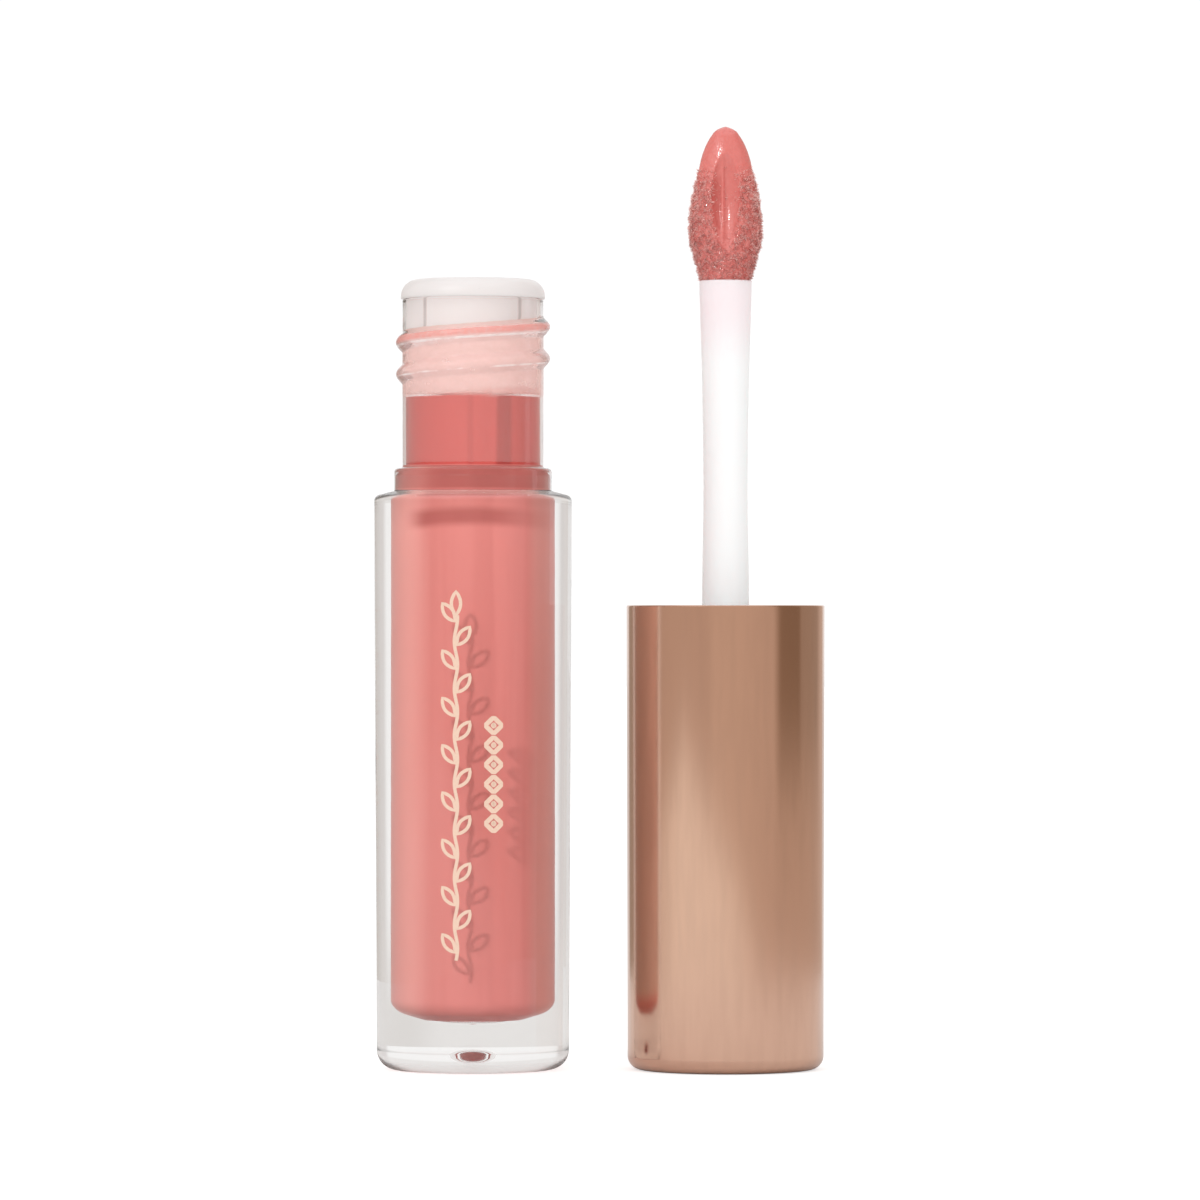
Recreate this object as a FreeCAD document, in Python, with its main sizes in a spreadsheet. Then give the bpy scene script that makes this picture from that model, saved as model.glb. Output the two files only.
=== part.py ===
import FreeCAD, Part
import Sketcher
import os

os.makedirs("parts", exist_ok=True)
doc = FreeCAD.newDocument("LipGloss")
sheet = doc.addObject("Spreadsheet::Sheet", "Dims")

# Driving dimensions, in millimetres. z is height above the surface that both units stand on.
dimensions = {
    # vial
    "tubeRadiusBase": 9.27,
    "tubeRadiusTop": 9.55,
    "tubeEdgeRound": 1.6,
    "shoulderEdge": 55.2,
    "shoulderRound": 0.7,
    "shoulderTop": 55.7,
    "chamberRadius": 5.25,
    "chamberFloor": 4.75,
    "chamberRound": 3.5,
    # neck
    "spigotEnd": 51.7,
    "spigotGap": 0.05,
    "spigotBore": 4.8,
    "spigotBoreTop": 57.2,
    "neckBore": 4.15,
    "neckBoreFoot": 58.2,
    "neckRadius": 6.8,
    "neckRim": 74.2,
    "collarRadius": 7.6,
    "collarTop": 57.9,
    "collarRound": 0.5,
    # thread, right-hand
    "threadPitch": 3.07,
    "threadTurns": 1.55,
    "threadStart": 66.9,
    "threadCrest": 7.45,
    "threadHalfWidth": 0.62,
    # wiper
    "wiperFlange": 7.0,
    "wiperTop": 76.1,
    "wiperRound": 1.5,
    "wiperBarrel": 4.1,
    "wiperBore": 3.64,
    "wiperOrifice": 2.45,
    "wiperEnd": 65.0,
    "wiperLand": 1.1,
    "wiperFunnel": 2.0,
    # gloss
    "glossGap": 0.03,
    "glossLevel": 64.7,
    "wellRadius": 3.9,
    "wellFloor": 8.5,
    # cap
    "unitSpacing": 24.35,
    "capRadiusEnd": 9.45,
    "capRadiusRim": 9.55,
    "capHeight": 44.7,
    "capEndRound": 1.3,
    "capRimRound": 0.15,
    "capBore": 8.65,
    "capEndWall": 1.2,
    # inner cap
    "innerRadius": 8.6,
    "innerRim": 44.2,
    "innerSkirtEnd": 14.0,
    "collarRecess": 7.85,
    "collarRecessFloor": 42.0,
    "threadBore": 7.6,
    "innerCeiling": 23.15,
    "innerWeb": 21.0,
    "innerThreadCrest": 6.95,
    "innerThreadStart": 33.0,
    "hubRadius": 3.6,
    "hubEnd": 12.0,
    # liner
    "ringHole": 2.65,
    "ringRadius": 7.25,
    "ringThickness": 0.9,
    "ringGap": 0.05,
    # wand
    "stemRoot": 13.0,
    "stemRootRadius": 2.3,
    "stemRimRadius": 2.27,
    "stemWaist": 52.0,
    "stemWaistRadius": 2.15,
    "stemMiddle": 63.0,
    "stemMiddleRadius": 2.25,
    "stemEnd": 76.0,
    "stemEndRadius": 2.53,
    "stemPinRadius": 1.3,
    "stemPinEnd": 80.5,
    # applicator
    "tipLength": 15.0,
    "tipHalfWidth": 3.8,
    "tipHalfDepth": 2.5,
    "flockThickness": 0.35,
}

for row, (name, number) in enumerate(dimensions.items(), start=1):
    sheet.set(f"A{row}", name)
    sheet.set(f"B{row}", str(number))
    sheet.setAlias(f"B{row}", name)
doc.recompute()


class Length:
    """A length as a number and as the spreadsheet expression that drives it."""

    def __init__(self, number, text):
        self.number = number
        self.text = text

    def __add__(self, other):
        return Length(self.number + other.number, f"({self.text} + {other.text})")

    def __sub__(self, other):
        return Length(self.number - other.number, f"({self.text} - {other.text})")

    def __mul__(self, factor):
        return Length(self.number * factor, f"({self.text} * {factor})")


size = {name: Length(number, f"Dims.{name}") for name, number in dimensions.items()}
zero = Length(0.0, "0")
subParts = []


def originFeature(body, role):
    for feature in body.Origin.OriginFeatures:
        if feature.Role == role:
            return feature
    raise ValueError(role)


def newBody(label, x=None):
    body = doc.addObject("PartDesign::Body", label)
    body.Label = label
    if x is not None:
        body.setExpression("Placement.Base.x", x.text)
    subParts.append(body)
    return body


def outlineSketch(body, name, corners):
    """A closed outline in the X-Z plane, every corner held at its own radius and height."""
    sketch = body.newObject("Sketcher::SketchObject", name)
    sketch.AttachmentSupport = [(originFeature(body, "XZ_Plane"), "")]
    sketch.MapMode = "FlatFace"
    points = [FreeCAD.Vector(r.number, z.number, 0) for r, z in corners]
    count = len(points)
    for i in range(count):
        sketch.addGeometry(Part.LineSegment(points[i], points[(i + 1) % count]), False)
    for i in range(count):
        sketch.addConstraint(Sketcher.Constraint("Coincident", i, 2, (i + 1) % count, 1))
    for i, (r, z) in enumerate(corners):
        if r.text == "0":
            sketch.addConstraint(Sketcher.Constraint("PointOnObject", i, 1, -2))
        else:
            across = sketch.addConstraint(Sketcher.Constraint("DistanceX", -1, 1, i, 1, r.number))
            sketch.setExpression(f"Constraints[{across}]", r.text)
        if z.text == "0":
            sketch.addConstraint(Sketcher.Constraint("PointOnObject", i, 1, -1))
        else:
            up = sketch.addConstraint(Sketcher.Constraint("DistanceY", -1, 1, i, 1, z.number))
            sketch.setExpression(f"Constraints[{up}]", z.text)
    return sketch


def turned(body, corners):
    """A solid of revolution about the body's Z axis."""
    sketch = outlineSketch(body, body.Label + "_outline", corners)
    turn = body.newObject("PartDesign::Revolution", body.Label + "_turn")
    turn.Profile = sketch
    turn.ReferenceAxis = (sketch, ["V_Axis"])
    turn.Angle = 360.0
    doc.recompute()
    return turn


def circlesAt(feature, r, z):
    names = []
    for i, edge in enumerate(feature.Shape.Edges, start=1):
        curve = edge.Curve
        if not isinstance(curve, Part.Circle):
            continue
        if abs(curve.Radius - r.number) < 0.001 and abs(curve.Center.z - z.number) < 0.001:
            names.append(f"Edge{i}")
    if not names:
        raise ValueError(f"{feature.Name} has no edge at radius {r.number}, height {z.number}")
    return names


def rounded(body, r, z, radius):
    base = body.Tip
    fillet = body.newObject("PartDesign::Fillet", body.Label + "_round")
    fillet.Base = (base, circlesAt(base, r, z))
    fillet.setExpression("Radius", radius.text)
    doc.recompute()
    return fillet


def threaded(body, corners, turns):
    """A helical ridge of the given section about the body's Z axis, right-hand."""
    smooth = body.Shape.Volume
    sketch = outlineSketch(body, body.Label + "_ridge", corners)
    helix = body.newObject("PartDesign::AdditiveHelix", body.Label + "_thread")
    helix.Profile = sketch
    helix.ReferenceAxis = (sketch, ["V_Axis"])
    helix.Mode = "pitch-turns-angle"
    helix.setExpression("Pitch", size["threadPitch"].text)
    helix.setExpression("Turns", turns.text)
    helix.Angle = 0
    helix.LeftHanded = False
    helix.Reversed = False
    doc.recompute()
    if body.Shape.Volume < smooth + 1.0:
        raise ValueError(f"{body.Label}: the thread added nothing")
    return helix


def ridgeCorners(root, crest, height):
    """A trapezoid ridge section: its foot inside the wall, its crest flat and half as wide."""
    half = size["threadHalfWidth"]
    return [
        (root, height - half),
        (crest, height - half * 0.5),
        (crest, height + half * 0.5),
        (root, height + half),
    ]


# Vial: a thick drafted wall, a clear solid base and a chamber with a rounded floor.
def makeTubeBody():
    body = newBody("tube_body")
    turned(body, [
        (zero, zero),
        (size["tubeRadiusBase"], zero),
        (size["tubeRadiusTop"], size["shoulderEdge"]),
        (size["collarRadius"], size["shoulderTop"]),
        (size["chamberRadius"], size["shoulderTop"]),
        (size["chamberRadius"], size["chamberFloor"]),
        (zero, size["chamberFloor"]),
    ])
    rounded(body, size["tubeRadiusBase"], zero, size["tubeEdgeRound"])
    rounded(body, size["tubeRadiusTop"], size["shoulderEdge"], size["shoulderRound"])
    rounded(body, size["chamberRadius"], size["chamberFloor"], size["chamberRound"])


# Neck: spigot in the chamber's mouth, collar on the shoulder, threaded neck. The thread starts on the -X side.
def makeNeckInsert():
    body = newBody("neck_insert")
    body.Placement.Rotation = FreeCAD.Rotation(FreeCAD.Vector(0, 0, 1), 180)
    spigotRadius = size["chamberRadius"] - size["spigotGap"]
    turned(body, [
        (size["spigotBore"], size["spigotEnd"]),
        (spigotRadius, size["spigotEnd"]),
        (spigotRadius, size["shoulderTop"]),
        (size["collarRadius"], size["shoulderTop"]),
        (size["collarRadius"], size["collarTop"]),
        (size["neckRadius"], size["collarTop"]),
        (size["neckRadius"], size["neckRim"]),
        (size["neckBore"], size["neckRim"]),
        (size["neckBore"], size["neckBoreFoot"]),
        (size["spigotBore"], size["spigotBoreTop"]),
    ])
    rounded(body, size["collarRadius"], size["collarTop"], size["collarRound"])
    root = size["neckRadius"] - Length(0.2, "0.2")
    threaded(body, ridgeCorners(root, size["threadCrest"], size["threadStart"]), size["threadTurns"])


# Wiper: a domed flange on the neck's rim and a barrel that funnels down to the wiping lip.
def makeWiper():
    body = newBody("wiper")
    landTop = size["wiperEnd"] + size["wiperLand"]
    turned(body, [
        (size["wiperOrifice"], size["wiperEnd"]),
        (size["wiperBarrel"], size["wiperEnd"]),
        (size["wiperBarrel"], size["neckRim"]),
        (size["wiperFlange"], size["neckRim"]),
        (size["wiperFlange"], size["wiperTop"]),
        (size["wiperBore"], size["wiperTop"]),
        (size["wiperBore"], landTop + size["wiperFunnel"]),
        (size["wiperOrifice"], landTop),
    ])
    rounded(body, size["wiperFlange"], size["wiperTop"], size["wiperRound"])


# Gloss: fills the chamber and the neck, open down the middle where the wand goes.
def makeGlossFill():
    body = newBody("gloss_fill")
    outer = size["chamberRadius"] - size["glossGap"]
    spigot = size["spigotBore"] - size["glossGap"]
    neck = size["neckBore"] - size["glossGap"]
    floor = size["chamberFloor"] + size["glossGap"]
    top = size["spigotEnd"] - size["glossGap"]
    turned(body, [
        (zero, floor),
        (outer, floor),
        (outer, top),
        (spigot, top),
        (spigot, size["spigotBoreTop"]),
        (neck, size["neckBoreFoot"]),
        (neck, size["glossLevel"]),
        (size["wellRadius"], size["glossLevel"]),
        (size["wellRadius"], size["wellFloor"]),
        (zero, size["wellFloor"]),
    ])
    rounded(body, outer, floor, size["chamberRound"])


# Cap shell: stands on its closed end, open end up.
def makeCapShell():
    body = newBody("cap_shell", size["unitSpacing"])
    turned(body, [
        (zero, zero),
        (size["capRadiusEnd"], zero),
        (size["capRadiusRim"], size["capHeight"]),
        (size["capBore"], size["capHeight"]),
        (size["capBore"], size["capEndWall"]),
        (zero, size["capEndWall"]),
    ])
    rounded(body, size["capRadiusEnd"], zero, size["capEndRound"])
    rounded(body, size["capRadiusRim"], size["capHeight"], size["capRimRound"])


# Inner cap: recess for the collar, threaded bore, ceiling web, hub for the wand and a skirt below the web.
def makeInnerCap():
    body = newBody("inner_cap", size["unitSpacing"])
    turned(body, [
        (zero, size["hubEnd"]),
        (size["hubRadius"], size["hubEnd"]),
        (size["hubRadius"], size["innerWeb"]),
        (size["threadBore"], size["innerWeb"]),
        (size["threadBore"], size["innerSkirtEnd"]),
        (size["innerRadius"], size["innerSkirtEnd"]),
        (size["innerRadius"], size["innerRim"]),
        (size["collarRecess"], size["innerRim"]),
        (size["collarRecess"], size["collarRecessFloor"]),
        (size["threadBore"], size["collarRecessFloor"]),
        (size["threadBore"], size["innerCeiling"]),
        (size["stemRootRadius"], size["innerCeiling"]),
        (size["stemRootRadius"], size["stemRoot"]),
        (zero, size["stemRoot"]),
    ])
    root = size["threadBore"] + Length(0.2, "0.2")
    threaded(body, ridgeCorners(root, size["innerThreadCrest"], size["innerThreadStart"]), size["threadTurns"])


# Liner: a loose ring around the wand, on the inner cap's ceiling.
def makeSealingRing():
    body = newBody("sealing_ring", size["unitSpacing"])
    bottom = size["innerCeiling"] + size["ringGap"]
    top = bottom + size["ringThickness"]
    turned(body, [
        (size["ringHole"], bottom),
        (size["ringRadius"], bottom),
        (size["ringRadius"], top),
        (size["ringHole"], top),
    ])


# Wand: waisted, with a pin at its end that the applicator sits on.
def makeWandStem():
    body = newBody("wand_stem", size["unitSpacing"])
    turned(body, [
        (zero, size["stemRoot"]),
        (size["stemRootRadius"], size["stemRoot"]),
        (size["stemRootRadius"], size["innerCeiling"]),
        (size["stemRimRadius"], size["capHeight"]),
        (size["stemWaistRadius"], size["stemWaist"]),
        (size["stemMiddleRadius"], size["stemMiddle"]),
        (size["stemEndRadius"], size["stemEnd"]),
        (size["stemPinRadius"], size["stemEnd"]),
        (size["stemPinRadius"], size["stemPinEnd"]),
        (zero, size["stemPinEnd"]),
    ])


# Leaf outline of the applicator: share of its length, share of its half width, share of its half depth.
leafStations = [
    (0.0, 0.71, 1.0),
    (0.12, 0.86, 0.94),
    (0.33, 1.0, 0.82),
    (0.55, 0.91, 0.72),
    (0.75, 0.73, 0.64),
    (0.89, 0.54, 0.54),
    (0.97, 0.34, 0.36),
    (1.0, 0.14, 0.15),
]


def leaf(name, inset, length):
    """A loft through the leaf's elliptical sections, drawn in by inset all round."""
    sections = []
    for i, (along, across, deep) in enumerate(leafStations):
        ellipse = doc.addObject("Part::Ellipse", f"{name}_section{i}")
        width = size["tipHalfWidth"] * across - inset * min(1.0, across * 2)
        depth = size["tipHalfDepth"] * deep - inset * min(1.0, across * 2)
        ellipse.setExpression("MajorRadius", width.text)
        ellipse.setExpression("MinorRadius", depth.text)
        ellipse.setExpression("Placement.Base.x", size["unitSpacing"].text)
        ellipse.setExpression("Placement.Base.z", (size["stemEnd"] + length * along).text)
        sections.append(ellipse)
    loft = doc.addObject("Part::Loft", name)
    loft.Sections = sections
    loft.Solid = True
    loft.Ruled = False
    doc.recompute()
    return loft


# Applicator: a paddle core on the wand's pin, and the flock that covers it.
def makeApplicator():
    flockThickness = size["flockThickness"]
    coreLength = size["tipLength"] - flockThickness
    outside = leaf("flock_outside", zero, size["tipLength"])
    hollow = leaf("flock_hollow", flockThickness, coreLength)
    flock = doc.addObject("Part::Cut", "tip_flock")
    flock.Base = outside
    flock.Tool = hollow
    subParts.append(flock)
    pin = doc.addObject("Part::Cylinder", "pin_socket")
    pin.setExpression("Radius", size["stemPinRadius"].text)
    pin.setExpression("Height", (size["stemPinEnd"] - size["stemEnd"]).text)
    pin.setExpression("Placement.Base.x", size["unitSpacing"].text)
    pin.setExpression("Placement.Base.z", size["stemEnd"].text)
    blank = leaf("core_blank", flockThickness, coreLength)
    core = doc.addObject("Part::Cut", "tip_core")
    core.Base = blank
    core.Tool = pin
    subParts.append(core)


makeTubeBody()
makeNeckInsert()
makeWiper()
makeGlossFill()
makeCapShell()
makeInnerCap()
makeSealingRing()
makeWandStem()
makeApplicator()
doc.recompute()

for item in doc.Objects:
    if "Invalid" in item.State or "Error" in item.State:
        raise ValueError(f"{item.Label} failed: {item.State}")
for item in subParts:
    if item.Shape.isNull() or not item.Shape.isValid():
        raise ValueError(f"{item.Label} has no valid shape")
for item in subParts:
    item.Shape.exportStep(f"parts/{item.Label}.step")
    solids = len(item.Shape.Solids)
    print(f"{item.Label}: {solids} solid, {item.Shape.Volume:.1f} mm3")
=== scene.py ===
import bmesh
import bpy
import math
import random
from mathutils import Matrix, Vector, noise


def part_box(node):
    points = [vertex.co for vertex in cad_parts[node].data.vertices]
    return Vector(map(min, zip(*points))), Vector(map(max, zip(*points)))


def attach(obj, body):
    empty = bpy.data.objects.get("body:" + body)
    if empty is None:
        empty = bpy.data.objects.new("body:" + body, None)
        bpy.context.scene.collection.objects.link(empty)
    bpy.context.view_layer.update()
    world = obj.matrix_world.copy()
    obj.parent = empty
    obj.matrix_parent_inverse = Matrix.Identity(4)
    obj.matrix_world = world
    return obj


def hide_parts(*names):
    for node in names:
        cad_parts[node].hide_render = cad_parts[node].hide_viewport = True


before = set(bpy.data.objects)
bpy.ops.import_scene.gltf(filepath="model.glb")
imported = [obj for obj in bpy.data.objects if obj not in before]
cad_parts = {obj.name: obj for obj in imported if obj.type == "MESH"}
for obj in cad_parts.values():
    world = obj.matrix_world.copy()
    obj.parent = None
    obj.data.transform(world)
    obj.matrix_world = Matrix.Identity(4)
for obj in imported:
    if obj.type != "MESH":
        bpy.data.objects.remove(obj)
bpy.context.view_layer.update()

mm = 0.001
fullTurn = 2 * math.pi
front = -math.pi / 2   # the side that faces the camera

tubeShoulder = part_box("tube_body")[1]
neckFoot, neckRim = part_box("neck_insert")
wiperFoot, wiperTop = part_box("wiper")
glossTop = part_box("gloss_fill")[1]
capFoot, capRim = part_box("cap_shell")
innerFoot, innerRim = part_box("inner_cap")
ringFoot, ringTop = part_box("sealing_ring")
stemFoot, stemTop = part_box("wand_stem")
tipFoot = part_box("tip_flock")[0]
capX = (capFoot.x + capRim.x) / 2
print("frame loaded")


# shader helpers

class Wire:
    # a node's output that takes part in ordinary arithmetic

    def __init__(self, finish, socket):
        self.finish = finish
        self.socket = socket

    def combine(self, operation, first, second):
        return self.finish.node("ShaderNodeMath", {"operation": operation}, {0: first, 1: second})

    def __add__(self, other):
        return self.combine("ADD", self, other)

    def __sub__(self, other):
        return self.combine("SUBTRACT", self, other)

    def __rsub__(self, other):
        return self.combine("SUBTRACT", other, self)

    def __mul__(self, other):
        return self.combine("MULTIPLY", self, other)

    def __truediv__(self, other):
        return self.combine("DIVIDE", self, other)

    __radd__ = __add__
    __rmul__ = __mul__

    def to(self, operation, other=0.0):
        return self.combine(operation, self, other)


class Finish:
    # one material, or the world, and its nodes

    def __init__(self, name, world=False):
        self.material = (bpy.data.worlds if world else bpy.data.materials).new(name)
        self.material.use_nodes = True
        self.tree = self.material.node_tree
        self.tree.nodes.clear()
        self.out = self.tree.nodes.new("ShaderNodeOutputWorld" if world else "ShaderNodeOutputMaterial")

    def node(self, kind, settings=None, inputs=None, output=0):
        made = self.tree.nodes.new(kind)
        for key, value in (settings or {}).items():
            if key == "stops":
                self.setStops(made.color_ramp, value)
            else:
                setattr(made, key, value)
        for key, value in (inputs or {}).items():
            self.feed(made.inputs[key], value)
        return Wire(self, made.outputs[output])

    def setStops(self, ramp, stops):
        while len(ramp.elements) > 1:
            ramp.elements.remove(ramp.elements[-1])
        for i, (place, colour) in enumerate(stops):
            element = ramp.elements[0] if i == 0 else ramp.elements.new(place)
            element.position = place
            element.color = (*colour, 1.0)

    def feed(self, socket, value):
        if isinstance(value, Wire):
            self.tree.links.new(value.socket, socket)
        elif socket.type == "RGBA" and len(value) == 3:
            socket.default_value = (*value, 1.0)
        else:
            socket.default_value = value

    def surface(self, shader):
        self.tree.links.new(shader.socket, self.out.inputs["Surface"])
        return self.material

    def mixColour(self, factor, first, second):
        return self.node("ShaderNodeMix", {"data_type": "RGBA"}, {0: factor, 6: first, 7: second}, 2)

    def place(self):
        # position in the row frame, in millimetres, as three wires
        spot = self.node("ShaderNodeNewGeometry", output="Position")
        scaled = self.node("ShaderNodeVectorMath", {"operation": "SCALE"}, {0: spot, "Scale": 1 / mm})
        split = self.node("ShaderNodeSeparateXYZ", inputs={0: scaled})
        nodes = split.socket.node
        return scaled, [Wire(self, nodes.outputs[i]) for i in range(3)]

    def mixShader(self, factor, first, second):
        return self.node("ShaderNodeMixShader", inputs={0: factor, 1: first, 2: second})

    def ramp(self, value, low, high, smooth=True):
        kind = "SMOOTHSTEP" if smooth else "LINEAR"
        return self.node("ShaderNodeMapRange", {"interpolation_type": kind}, {0: value, 1: low, 2: high})

    def window(self, value, low, high, edge):
        # 1 between two values, with soft edges inside them
        return self.ramp(value, low, low + edge) * self.ramp(value, high, high - edge)

    def speckle(self, vector, scale, detail=2.0, stretch=None):
        if stretch:
            vector = self.node("ShaderNodeVectorMath", {"operation": "MULTIPLY"}, {0: vector, 1: stretch})
        return self.node("ShaderNodeTexNoise", inputs={"Vector": vector, "Scale": scale, "Detail": detail})

    def bump(self, height, strength, distance):
        return self.node("ShaderNodeBump", inputs={
            "Height": height, "Strength": strength, "Distance": distance,
        })


def linear(red, green, blue):
    # screen colour, 0 to 255, to the renderer's linear one
    return tuple(((v / 255 + 0.055) / 1.055) ** 2.4 if v > 10 else v / 3294 for v in (red, green, blue))


def dimmed(colour, share):
    return tuple(v * share for v in colour)


def seenThrough(f):
    # 1 on a path that has only crossed clear walls, 0 once it has met anything matt
    crossed = f.node("ShaderNodeLightPath", output="Is Transmission Ray")
    scattered = f.node("ShaderNodeLightPath", output="Diffuse Depth")
    return crossed * (1.0 - scattered.to("MINIMUM", 1.0))


# mesh helpers

def roundedOutline(corners, steps=8, support=0.05, closed=False):
    # corners are (radius, height, rounding) in mm; the result is a smooth polyline of (radius, height)
    outline = []
    count = len(corners)
    for i, (r, z, rounding) in enumerate(corners):
        here = Vector((r, z))
        if rounding == 0 or (not closed and i in (0, count - 1)):
            outline.append(here)
            continue
        before = Vector(corners[i - 1][:2]) - here
        after = Vector(corners[(i + 1) % count][:2]) - here
        half = before.angle(after) / 2
        shares = [0.49 if corners[j % count][2] else 0.97 for j in (i - 1, i + 1)]
        reach = min(rounding / math.tan(half), before.length * shares[0], after.length * shares[1])
        radius = reach * math.tan(half)
        before.normalize()
        after.normalize()
        centre = here + (before + after).normalized() * (radius / math.sin(half))
        start = here + before * reach
        end = here + after * reach
        outline.append(start + before * support)
        first, last = start - centre, end - centre
        sweep = first.angle_signed(last)
        for k in range(steps + 1):
            turn = -sweep * k / steps
            c, s = math.cos(turn), math.sin(turn)
            outline.append(centre + Vector((first.x * c - first.y * s, first.x * s + first.y * c)))
        outline.append(end + after * support)
    return outline


def divided(outline, low, high, step, closed=False):
    # more points on the runs between two heights
    result = []
    count = len(outline)
    for i, here in enumerate(outline):
        result.append(here)
        if i == count - 1 and not closed:
            break
        there = outline[(i + 1) % count]
        if min(here.y, there.y) > high or max(here.y, there.y) < low:
            continue
        parts = int((there - here).length / step)
        result += [here.lerp(there, k / parts) for k in range(1, parts)]
    return result


def makeObject(name, verts, faces, material, body, smooth=True):
    mesh = bpy.data.meshes.new(name)
    mesh.from_pydata(verts, [], faces)
    mesh.validate()
    work = bmesh.new()
    work.from_mesh(mesh)
    bmesh.ops.recalc_face_normals(work, faces=work.faces)
    for face in work.faces:
        face.smooth = smooth
    work.to_mesh(mesh)
    work.free()
    piece = bpy.data.objects.new(name, mesh)
    bpy.context.scene.collection.objects.link(piece)
    mesh.materials.append(material)
    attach(piece, body)
    return piece


def turned(name, outline, material, body, x=0.0, segments=160, closed=False, push=None):
    # turns an outline about a vertical axis; push adds to the radius by angle and height
    verts, rings = [], []
    for point in outline:
        if point.x < 1e-6:
            rings.append([len(verts)])
            verts.append((x, 0, point.y * mm))
            continue
        ring = []
        for k in range(segments):
            angle = fullTurn * k / segments
            r = point.x + (push(angle, point.x, point.y) if push else 0.0)
            ring.append(len(verts))
            verts.append((x + r * math.cos(angle) * mm, r * math.sin(angle) * mm, point.y * mm))
        rings.append(ring)
    faces = []
    count = len(rings)
    for i in range(count if closed else count - 1):
        lower, upper = rings[i], rings[(i + 1) % count]
        if len(lower) == 1 and len(upper) == 1:
            continue
        for k in range(segments):
            n = (k + 1) % segments
            if len(lower) == 1:
                faces.append((lower[0], upper[n], upper[k]))
            elif len(upper) == 1:
                faces.append((lower[k], lower[n], upper[0]))
            else:
                faces.append((lower[k], lower[n], upper[n], upper[k]))
    return makeObject(name, verts, faces, material, body)


def helixRidge(angle, z, start, startAngle, turns, pitch, halfWidth, height, fade):
    # height of a rounded right-hand ridge at this angle and height, with ends that run out smoothly
    best = 0.0
    base = (angle - startAngle) % fullTurn
    for lap in range(int(turns) + 1):
        along = base / fullTurn + lap
        if along > turns:
            break
        offset = abs(z - start - pitch * along) / halfWidth
        if offset >= 1:
            continue
        ends = min(1.0, along / fade, (turns - along) / fade)
        ends = ends * ends * (3 - 2 * ends)
        best = max(best, height * ends * (0.5 + 0.5 * math.cos(math.pi * offset)) ** 0.55)
    return best


# the clear vial

vial = {
    "chamberRadius": 5.25, "shelf": 5.75, "shelfRound": 1.5, "chamberRun": 20.0,
    "bowlRadius": 2.6, "bowl": 4.66, "bowlRound": 4.0, "chamberFloor": 4.5,
    "footRadius": 9.27, "footRound": 1.9, "shoulderEdge": 55.2, "shoulderRound": 0.7, "seatRadius": 7.6,
    "dimpleRadius": 3.0, "dimpleDepth": 2.1, "dimpleRound": 2.0,
    "tint": (0.955, 0.95, 0.945), "ior": 1.5, "edgeGlow": (1, 0.98, 0.97), "edgeLight": 0.06, "scuff": 0.42,
}


def clearFinish(name, tint, ior, wavy):
    # clear and slightly wavy; the foot and the shoulder's edge are dulled by handling, and the shoulder's
    # edge glows faintly as painted light
    f = Finish(name)
    place, (x, y, z) = f.place()
    cloud = f.speckle(place, 0.35, 2.0, (1, 1, 0.25))
    smear = f.speckle(place, 2.2, 4.0, (1, 1, 0.5))
    shoulder = f.ramp(z, 54.7, 55.1) * f.ramp(z, 55.8, 55.7)
    scuffed = f.ramp(z, 1.5, 0.4) + shoulder * 0.6
    shader = f.node("ShaderNodeBsdfPrincipled", inputs={
        "Base Color": f.mixColour(f.ramp(smear, 0.35, 0.75), tint, dimmed(tint, 0.985)),
        "Transmission Weight": 1.0, "IOR": ior,
        "Roughness": f.ramp(smear, 0.45, 0.8) * 0.03 + scuffed * vial["scuff"],
        # painted light: a faint glow on the shoulder's edge lifts its dark lines
        "Emission Color": f.mixColour(shoulder, (0, 0, 0), vial["edgeGlow"]),
        "Emission Strength": vial["edgeLight"],
        "Normal": f.bump(cloud, wavy, 0.0002),
    })
    return f.surface(shader)


clearWall = clearFinish("clearWall", vial["tint"], vial["ior"], 0.05)


def vialRadius(z):
    # the drafted outer wall's radius at a height, in mm
    share = z / vial["shoulderEdge"]
    return vial["footRadius"] + (tubeShoulder.x / mm - vial["footRadius"]) * share


def chamberOutline():
    # the inside of the chamber, from the axis out and up
    v = vial
    return roundedOutline([
        (0, v["chamberFloor"], 0),
        (v["bowlRadius"], v["bowl"], v["bowlRound"]),
        (v["chamberRadius"], v["shelf"], v["shelfRound"]),
        (v["chamberRadius"], v["chamberRun"], 0),
    ], steps=12)


def makeVial():
    v = vial
    outline = roundedOutline([
        (0, v["dimpleDepth"], 0),
        (v["dimpleRadius"] * 0.35, v["dimpleDepth"] * 0.95, v["dimpleRound"]),
        (v["dimpleRadius"] * 0.75, v["dimpleDepth"] * 0.5, v["dimpleRound"]),
        (v["dimpleRadius"], 0.0, 0.3),
        (v["footRadius"], 0, v["footRound"]),
        (tubeShoulder.x / mm, v["shoulderEdge"], v["shoulderRound"]),
        (v["seatRadius"], tubeShoulder.z / mm, 0.05),
        (v["chamberRadius"], tubeShoulder.z / mm, 0),
    ], steps=10) + chamberOutline()[::-1]
    piece = turned("vial", outline, clearWall, "tube")
    piece.visible_shadow = False   # clear walls let light straight in
    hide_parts("tube_body")


makeVial()
print("vial made")


# the threaded neck

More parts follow.
